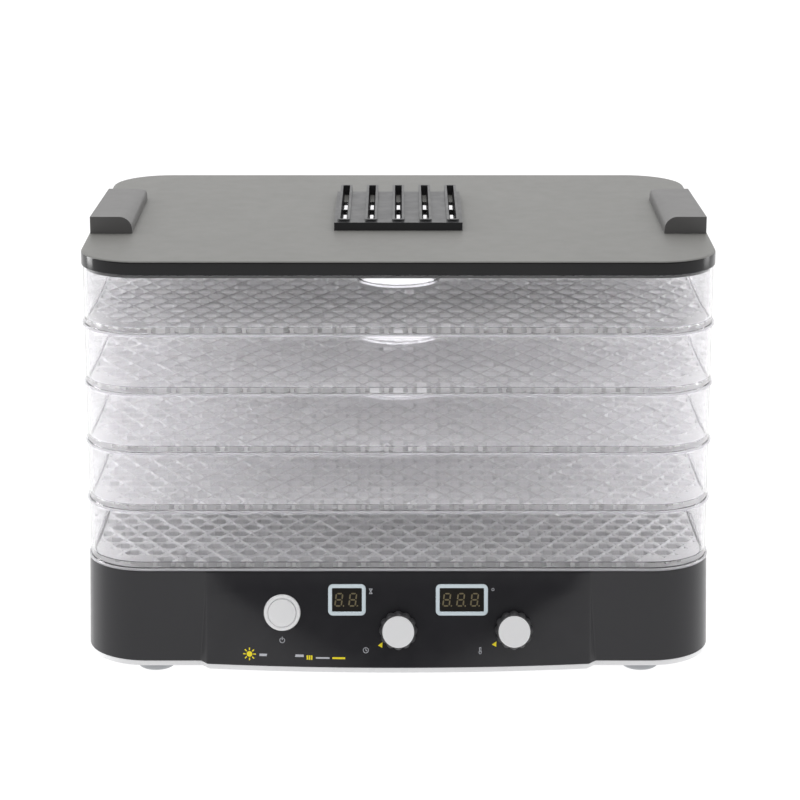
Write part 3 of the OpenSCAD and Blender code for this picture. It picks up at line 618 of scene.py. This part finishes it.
ARC_STEPS = 36                             # steps across the panel
EDGE_SOFT = 1.1                            # rounding of the panel's two upright edges
CREASE = 24                                # angle above which an edge of the housing stays sharp
DECK_HOLE = 37.0                           # half the side of the deck's opening
RING_RECESS = 12.95                        # radius of the recess that the button's ring lies in
RING_BORE = 11.6                           # and of the hole behind it
SHAFT_HOLE = 4.7                           # radius of the holes for the knobs' shafts
DISPLAY_Z = 55.4                           # middle of both displays
DISPLAY_TALL = 22.0
BEZEL_R = 3.4                              # radius of a bezel's corners


def display_place(name):
    """x and z of a display's middle on the panel, and its width and height there."""
    low, high = span(name)
    return (low.x + high.x) / 2, DISPLAY_Z, high.x - low.x, DISPLAY_TALL


def axis_place(name):
    """x and z where a turning control's axis meets the panel."""
    x, _, z = joint(name)["pos_m"]
    return x / MM, z / MM


TIMER = axis_place("timer_turn")
TEMP = axis_place("temp_turn")
BUTTON = (sum(c.x for c in span("power_button")) / 2, 46.8)


def base_outline(inset, share, bulged=True):
    """Outline of the housing, where share is 0 at its rim and 1 at its foot.

    All outlines have the same number of points.
    """
    grow = FLARE * share - inset
    half_x, half_y, r = RIM_X + grow, RIM_Y + grow, RIM_R + grow
    around = rounded(half_x, half_y, r, 10)
    corner = len(around) // 4
    points = []
    # the back, from the front right corner round to the front left one
    points += around[3 * corner:] + around[:3 * corner]
    lean = max(share, 0.02) if bulged else 0.0
    foot = PANEL_HALF + FACET * max(lean, 0.02)
    end_y = panel_y(PANEL_HALF, lean) + inset if bulged else -half_y
    left = [(-foot, -half_y), (-PANEL_HALF + 0.6 * inset, end_y)]
    face = []
    for i in range(1, ARC_STEPS):
        x = (-1 + 2 * i / ARC_STEPS) * PANEL_HALF
        face.append((x, panel_y(x, lean) + inset if bulged else -half_y))
    right = [(-x, y) for x, y in reversed(left)]
    softened = []
    for a, b, c in zip([points[-1]] + left, left, left[1:] + face[:1]):
        softened += soften(a, b, c, EDGE_SOFT)
    for a, b, c in zip(face[-1:] + right, right, right[1:] + points[:1]):
        face += soften(a, b, c, EDGE_SOFT)
    return points + softened + face


def soften(a, b, c, size):
    """Three points in place of the corner b."""
    a, b, c = Vector(a), Vector(b), Vector(c)
    size = min(size, 0.35 * (a - b).length, 0.35 * (c - b).length)
    start = b + (a - b).normalized() * size if size > 1e-4 else b
    end = b + (c - b).normalized() * size if size > 1e-4 else b
    middle = (start + end + 2 * b) / 4
    return [tuple(start), tuple(middle), tuple(end)]


def make_housing():
    """The black shell: bowed panel, rim, the lowest tray's seat, and a deck open for the duct."""
    wall, deck_t = 2.8, 2.4
    rings = [at(base_outline(0.6, 1), SHELL_Z), at(base_outline(0, 0.99), SHELL_Z + 0.6)]
    for i in range(1, 12):
        z = SHELL_Z + 0.6 + (PANEL_TOP - SHELL_Z - 0.6) * i / 12
        rings.append(at(base_outline(0, panel_share(z)), z))
    rings.append(at(base_outline(0, 0), PANEL_TOP))
    rings.append(at(base_outline(0, 0, False), RIM_Z - 0.5))
    rings.append(at(base_outline(0.15, 0, False), RIM_Z - 0.15))
    rings.append(at(base_outline(0.5, 0, False), RIM_Z))
    seat = RIM_X - WALL_X
    rings.append(at(base_outline(seat, 0, False), RIM_Z))
    rings.append(at(base_outline(seat, 0, False), base_high.z))
    for z in (base_high.z, DECK_Z):
        rings.append(at(base_outline(seat + WALL_T, 0, False), z))
    hole = opening_outline(rings[0], (-DECK_HOLE, -DECK_HOLE), (DECK_HOLE, DECK_HOLE))
    rings += [at(hole, DECK_Z), at(hole, DECK_Z - deck_t)]
    rings.append(at(base_outline(wall, 0, False), DECK_Z - deck_t))
    rings.append(at(base_outline(wall, 1), SHELL_Z))
    verts, faces = loft(rings, close=True)
    housing = put("housing_shell", verts, faces, "base", "housing_black", [HOUSING],
                  ("base_housing",), corner=CREASE)
    cut(housing)


def cut(housing):
    """Openings for the displays, the button, the knobs' shafts and the power inlet."""
    cutters = []

    def cutter(verts, faces, place):
        mesh = bpy.data.meshes.new("cutter")
        points = [place @ Vector(v) for v in verts]
        mesh.from_pydata([(p.x * MM, (p.y + MID_Y) * MM, p.z * MM) for p in points], [], faces)
        obj = bpy.data.objects.new("cutter", mesh)
        bpy.context.scene.collection.objects.link(obj)
        cutters.append(obj)

    def drill(place, r, low, high):
        cutter(*lathe([(0, low), (r, low), (r, high), (0, high)]), on_panel(*place))

    for name in ("timer_display_bezel", "temp_display_bezel"):
        x, z, wide, tall = display_place(name)
        outline = rounded(wide / 2 + 0.1, tall / 2 + 0.1, BEZEL_R, 8)
        cutter(*loft([at(outline, -3.5), at(outline, 9)], caps=True), on_panel(x, z))
    drill(BUTTON, RING_RECESS, -0.4, 9)
    drill(BUTTON, RING_BORE, -12, 1)
    drill(TIMER, SHAFT_HOLE, -12, 8)
    drill(TEMP, SHAFT_HOLE, -12, 8)
    low, high = span("power_inlet")
    mid = Vector(((low.x + high.x) / 2, high.y - MID_Y, (low.z + high.z) / 2))
    outline = rounded(13.7, 10.2, 0.5, 2)
    cutter(*loft([at(outline, -12), at(outline, 6)], caps=True),
           Matrix.Translation(mid) @ Matrix.Rotation(-math.pi / 2, 4, "X"))
    for obj in cutters:
        m = housing.modifiers.new("opening", "BOOLEAN")
        m.object = obj
        m.solver = "EXACT"
    bpy.context.view_layer.update()
    opened = housing.evaluated_get(bpy.context.evaluated_depsgraph_get())
    finished = bpy.data.meshes.new_from_object(opened)
    housing.modifiers.clear()
    housing.data = finished
    finished.set_sharp_from_angle(angle=math.radians(CREASE))
    for obj in cutters:
        bpy.data.objects.remove(obj)


make_housing()


def make_feet():
    """Four rubber feet with rounded edges."""
    low, high = span("feet")
    r = 13.4
    profile = [(0, 0), (10.6, 0), (11.6, 0.2), (12.6, 0.9), (r - 0.1, 1.9), (r, 2.8), (r, 4.6),
               (r - 0.3, 4.95), (0, 4.95)]
    verts, faces = lathe(profile)
    parts = []
    for sx in (low.x + r, high.x - r):
        for sy in (low.y + r - MID_Y, high.y - r - MID_Y):
            parts.append(([(x + sx, y + sy, z) for x, y, z in verts], faces))
    put("rubber_feet", *join(*parts), "base", "foot_rubber", [FOOT], ("feet",))


make_feet()

# ---------- controls ----------


def make_knob(prefix, x, z, body):
    """A lobed skirt and a white cap."""
    place = on_panel(x, z)
    lobes, n = 12, 144
    outer, valley = 13.4, 12.1

    def ring(r_share, lobed, height):
        points = []
        for i in range(n):
            a = math.tau * i / n
            lobe = (0.5 + 0.5 * math.cos(lobes * a)) ** 0.55
            r = (valley + (outer - valley) * lobe * lobed) * r_share
            points.append((r * math.cos(a), r * math.sin(a), height))
        return points

    profile = [(0.75, 0, 1.0), (0.96, 1, 1.0), (0.995, 1, 1.4), (1, 1, 2.2), (0.985, 1, 9.4),
               (0.97, 0.8, 10.4), (0.96, 0.4, 11.2), (0.95, 0.0, 11.9), (0.93, 0.0, 12.35),
               (0.9, 0.0, 12.5), (0.4, 0.0, 12.5)]
    verts, faces = loft([ring(*step) for step in profile], caps=True)
    put(f"{prefix}_knob_skirt", verts, faces, body, "knob_black", [KNOB], (f"{prefix}_knob",),
        place=place, corner=50)
    cap = [(0, 12.51), (10.9, 12.51), (11, 12.65), (11, 13.25), (10.9, 13.62), (10.6, 13.92),
           (10.2, 14.04), (9.7, 14.02), (9.4, 14.04), (6, 14.15), (0, 14.22)]
    put(f"{prefix}_knob_disc", *lathe(cap, 96), body, "cap_white", [CAP], (f"{prefix}_knob_cap",),
        place=place, corner=60)


def make_button():
    """The white ring on the panel and the cap that moves in it."""
    place = on_panel(*BUTTON)
    ring = [(9.85, -5.9), (11.4, -5.9), (11.4, -0.38), (12.75, -0.38), (12.8, 0.2), (12.7, 0.9),
            (12.3, 1.6), (11.7, 2.05), (11.1, 2.2), (10.6, 2.1), (10.1, 1.8), (9.87, 1.3),
            (9.85, 0.6)]
    put("power_button_collar", *loft([circle(r, z, 96) for r, z in ring], close=True), "base",
        "button_white", [BUTTON_RING], ("power_button_ring",), place=place, corner=60)
    cap = [(0, -3.9), (9.6, -3.9), (9.7, -3.6), (9.7, 2.2), (9.6, 2.6), (9.35, 2.9), (9.0, 3.04),
           (5, 3.08), (0, 3.09)]
    put("power_button_dome", *lathe(cap, 96), "push_button", "button_white", [BUTTON_WHITE],
        ("power_button",), place=place, corner=60)


def segment(cx, cy, length, thick, upright):
    """One six-sided display segment."""
    h, t = length / 2, thick / 2
    points = [(-h, 0), (-h + t, -t), (h - t, -t), (h, 0), (h - t, t), (-h + t, t)]
    return [(cx + (-v if upright else u), cy + (u if upright else v)) for u, v in points]


def digit(cx, cy):
    """The seven segments and the point of one slanting digit."""
    wide, tall, thick, slant = 4.4, 8.6, 1.0, 0.12
    dot_r, dot_out = 0.55, 1.5
    shapes = [segment(0, y, wide - 0.9, thick, False) for y in (-tall / 2, 0, tall / 2)]
    shapes += [segment(sx * wide / 2, sy * tall / 4, tall / 2 - 0.5, thick, True)
               for sx in (-1, 1) for sy in (-1, 1)]
    dot = [(wide / 2 + dot_out + dot_r * math.cos(a), -tall / 2 + dot_r * math.sin(a))
           for a in (math.tau * i / 12 for i in range(12))]
    return [[(cx + x + slant * y, cy + y) for x, y in shape] for shape in shapes + [dot]]


def prism(outline, low, high):
    """An outline, made solid between two heights."""
    return loft([at(outline, low), at(outline, high)], caps=True)


def make_display(name, digits):
    """The pale frame of a display, its dark window with the module behind, and its unlit digits."""
    x, z, wide, tall = display_place(name + "_bezel")
    place = on_panel(x, z)
    half_x, half_y, rim = wide / 2, tall / 2, 2.75
    profile = [(0.05, -2.6), (0.0, 0.1), (0.05, 0.4), (0.3, 0.58), (0.8, 0.6), (rim - 0.9, 0.52),
               (rim - 0.4, 0.45), (rim - 0.1, 0.3), (rim, 0.0), (rim, -2.6)]
    rings = [at(rounded(half_x - inset, half_y - inset, max(BEZEL_R - inset, 0.5), 8), height)
             for inset, height in profile]
    put(f"{name}_frame", *loft(rings, close=True), "base", "bezel_pale", [BEZEL],
        (name + "_bezel",), place=place, corner=50)
    glass = rounded(half_x - rim - 0.1, half_y - rim - 0.1, 0.5, 3)
    module = rounded(half_x - rim - 0.3, 5, 0.5, 3)
    lowered = [(u, v - 3.2) for u, v in module]
    put(f"{name}_window", *join(prism(glass, -3, -0.4), prism(lowered, -8.3, -2.9)), "base",
        "display_dark", [WINDOW], (name,), place=place)
    shapes = []
    step = 9.7
    for i in range(digits):
        shapes += digit((i - (digits - 1) / 2) * step - 0.8, 0)
    put(f"{name}_digits", *join(*[prism(shape, -0.41, -0.37) for shape in shapes]), "base",
        "display_dark", [SEGMENT], place=place)


def printed(name, shapes, material):
    """Marks printed on the panel, from closed outlines given in x and z."""
    parts = []
    for shape in shapes:
        ink = [[(x, panel_y(x, panel_share(z)) + out, z) for x, z in shape]
               for out in (0.05, -0.06)]
        parts.append(loft(ink, caps=True))
    put(name, *join(*parts), "base", "housing_black", [material])


def stroke(points, width, closed=False):
    """Outlines of short bars that follow a line."""
    bars = []
    for p, q in zip(points, points[1:] + (points[:1] if closed else [])):
        d = (Vector(q) - Vector(p))
        side = Vector((-d.y, d.x)).normalized() * width / 2
        along = d.normalized() * width / 4
        a, b = Vector(p) - along, Vector(q) + along
        bars.append([tuple(a + side), tuple(a - side), tuple(b - side), tuple(b + side)])
    return bars


def bar(left, right, z, height):
    """A plain stripe."""
    low, high = z - height / 2, z + height / 2
    return [(left, low), (right, low), (right, high), (left, high)]


def arc(cx, cy, r, start, end, steps):
    """Points on a circle from one angle to another."""
    angles = [math.radians(start + (end - start) * i / steps) for i in range(steps + 1)]
    return [(cx + r * math.cos(a), cy + r * math.sin(a)) for a in angles]


def make_marks():
    """Plain signs in place of words, from power to sun, and stripes."""
    grey = []
    x, z = BUTTON[0], 27.6                 # power
    grey += stroke(arc(x, z, 1.7, 120, 420, 18), 0.45) + stroke([(x, z + 0.3), (x, z + 2.4)], 0.45)
    x, z = -22.6, 21.2                     # clock
    grey += stroke(arc(x, z, 1.8, 0, 360, 22), 0.42)
    grey += stroke([(x, z + 1.2), (x, z), (x + 0.9, z - 0.4)], 0.4)
    x, z = 57.2, 20.8                      # thermometer
    grey += stroke([(x - 0.5, z - 0.5), (x - 0.5, z + 2), (x + 0.5, z + 2), (x + 0.5, z - 0.5)],
                   0.35)
    grey += stroke(arc(x, z - 1.3, 0.9, 0, 360, 14), 0.45)
    x, z = -19.2, 61.2                     # hourglass
    grey += stroke([(x - 1.1, z + 1.6), (x + 1.1, z + 1.6), (x - 1.1, z - 1.6), (x + 1.1, z - 1.6)],
                   0.4, True)
    x, z = 66.0, 62.4                      # degrees
    grey += stroke(arc(x, z, 0.8, 0, 360, 14), 0.4)
    grey += [bar(-97, -66, 17.0, 1.7), bar(-57.5, -48, 15.7, 1.1)]
    printed("panel_signs", grey, MARK_GREY)
    yellow = []
    x, z = -104.0, 17.4                    # sun
    for a in range(0, 360, 45):
        u, v = math.cos(math.radians(a)), math.sin(math.radians(a))
        yellow += stroke([(x + 2.9 * u, z + 2.9 * v), (x + 4.3 * u, z + 4.3 * v)], 0.8)
    yellow.append(arc(x, z, 2.0, 0, 345, 23))
    for px, pz in ((-12.5, 24.8), (67.0, 25.2)):
        yellow.append([(px - 1.7, pz - 0.3), (px + 1.3, pz - 2.0), (px + 1.5, pz + 1.9)])
    yellow += [bar(x, x + 1.1, 15.9, 3.0) for x in (-64.0, -62.5, -61.0)]
    yellow.append(bar(-46, -37, 15.7, 1.3))
    printed("panel_signs_yellow", yellow, MARK_YELLOW)


make_knob("timer", *TIMER, "timer_dial")
make_knob("temp", *TEMP, "temp_dial")
make_button()
make_display("timer_display", 2)
make_display("temp_display", 3)
make_marks()

# ---------- floor, light and camera, in metres ----------

FLOOR_HALF = 9.0
FLOOR_GLOW = 0.98                          # the floor is a light table, so shadows are faint
FRONT_LIGHT = 0.22                         # strength of the world in front, and of the world behind
BACK_LIGHT = 1.3
FRONT_TO_BACK = (-0.75, 0.1)               # from where to where along Y it changes
INSIDE_BOOST = 11.0                        # how much brighter it is for light deep in the stack
INSIDE_DEPTHS = (2, 14)                    # where that starts and where it is complete
LENS = 123.5
CAMERA_AT = (0.0012, -1.9607 + MID_Y * MM, 0.7048)
CAMERA_DOWN = 15.62                        # degrees below level
DEEP_BOUNCES = 28                          # the stack is many clear walls one behind another
SHALLOW_BOUNCES = 8


def make_stage():
    """The pale floor, which glows a little less than the world behind it."""
    s = FLOOR_HALF
    mesh = bpy.data.meshes.new("floor")
    mesh.from_pydata([(-s, -s, 0), (s, -s, 0), (s, s, 0), (-s, s, 0)], [], [(0, 1, 2, 3)])
    material, _, principled = shader("pale floor", (0.06, 0.06, 0.06), 0.6, specular=0.1)
    principled.inputs["Emission Color"].default_value = (1, 1, 1, 1)
    principled.inputs["Emission Strength"].default_value = FLOOR_GLOW
    mesh.materials.append(material)
    floor = bpy.data.objects.new("floor", mesh)
    bpy.context.scene.collection.objects.link(floor)


def area_light(name, place, aim, size, power):
    """A rectangular soft box that faces aim."""
    data = bpy.data.lights.new(name, "AREA")
    data.shape = "RECTANGLE"
    data.size, data.size_y = size
    data.energy = power
    obj = bpy.data.objects.new(name, data)
    obj.location = place
    obj.rotation_euler = (Vector(aim) - Vector(place)).to_track_quat("-Z", "Y").to_euler()
    bpy.context.scene.collection.objects.link(obj)


def make_world():
    """Soft white light, weaker from the front and brighter for light from deep in the stack."""
    world = bpy.data.worlds.new("studio")
    world.use_nodes = True
    tree = world.node_tree
    coords = tree.nodes.new("ShaderNodeTexCoord")
    split = tree.nodes.new("ShaderNodeSeparateXYZ")
    tree.links.new(coords.outputs["Generated"], split.inputs["Vector"])
    background = tree.nodes["Background"]
    background.inputs["Color"].default_value = (1, 1, 1, 1)
    # the product of a ray's two depths tells how much of the clear trays it has been through
    path = tree.nodes.new("ShaderNodeLightPath")
    inside = tree.nodes.new("ShaderNodeMath")
    inside.operation = "MULTIPLY"
    tree.links.new(path.outputs["Diffuse Depth"], inside.inputs[0])
    tree.links.new(path.outputs["Transmission Depth"], inside.inputs[1])
    boost = ranged(tree, inside.outputs[0], 1, INSIDE_BOOST, *INSIDE_DEPTHS)
    strength = tree.nodes.new("ShaderNodeMath")
    strength.operation = "MULTIPLY"
    around = ranged(tree, split.outputs["Y"], FRONT_LIGHT, BACK_LIGHT, *FRONT_TO_BACK)
    tree.links.new(around, strength.inputs[0])
    tree.links.new(boost, strength.inputs[1])
    tree.links.new(strength.outputs[0], background.inputs["Strength"])
    bpy.context.scene.world = world


make_stage()
make_world()
area_light("overhead", (0, 0.2, 2.2), (0, 0, 0.2), (2.4, 2.0), 26)
area_light("front strip", (0, -1.6, 1.4), (0, 0, 0.2), (2.4, 0.08), 3)
area_light("left panel", (-1.5, 0.4, 0.5), (0, 0, 0.15), (0.45, 1.1), 12)
area_light("right panel", (1.5, 0.4, 0.5), (0, 0, 0.15), (0.45, 1.1), 5)

camera = bpy.data.objects.new("camera", bpy.data.cameras.new("camera"))
camera.data.lens = LENS
camera.location = CAMERA_AT
camera.rotation_euler = (math.radians(90 - CAMERA_DOWN), 0, 0)
bpy.context.scene.collection.objects.link(camera)
scene = bpy.context.scene
scene.camera = camera
scene.view_settings.view_transform = "Standard"
scene.cycles.max_bounces = DEEP_BOUNCES
scene.cycles.diffuse_bounces = SHALLOW_BOUNCES
scene.cycles.transmission_bounces = DEEP_BOUNCES
scene.cycles.transparent_max_bounces = SHALLOW_BOUNCES
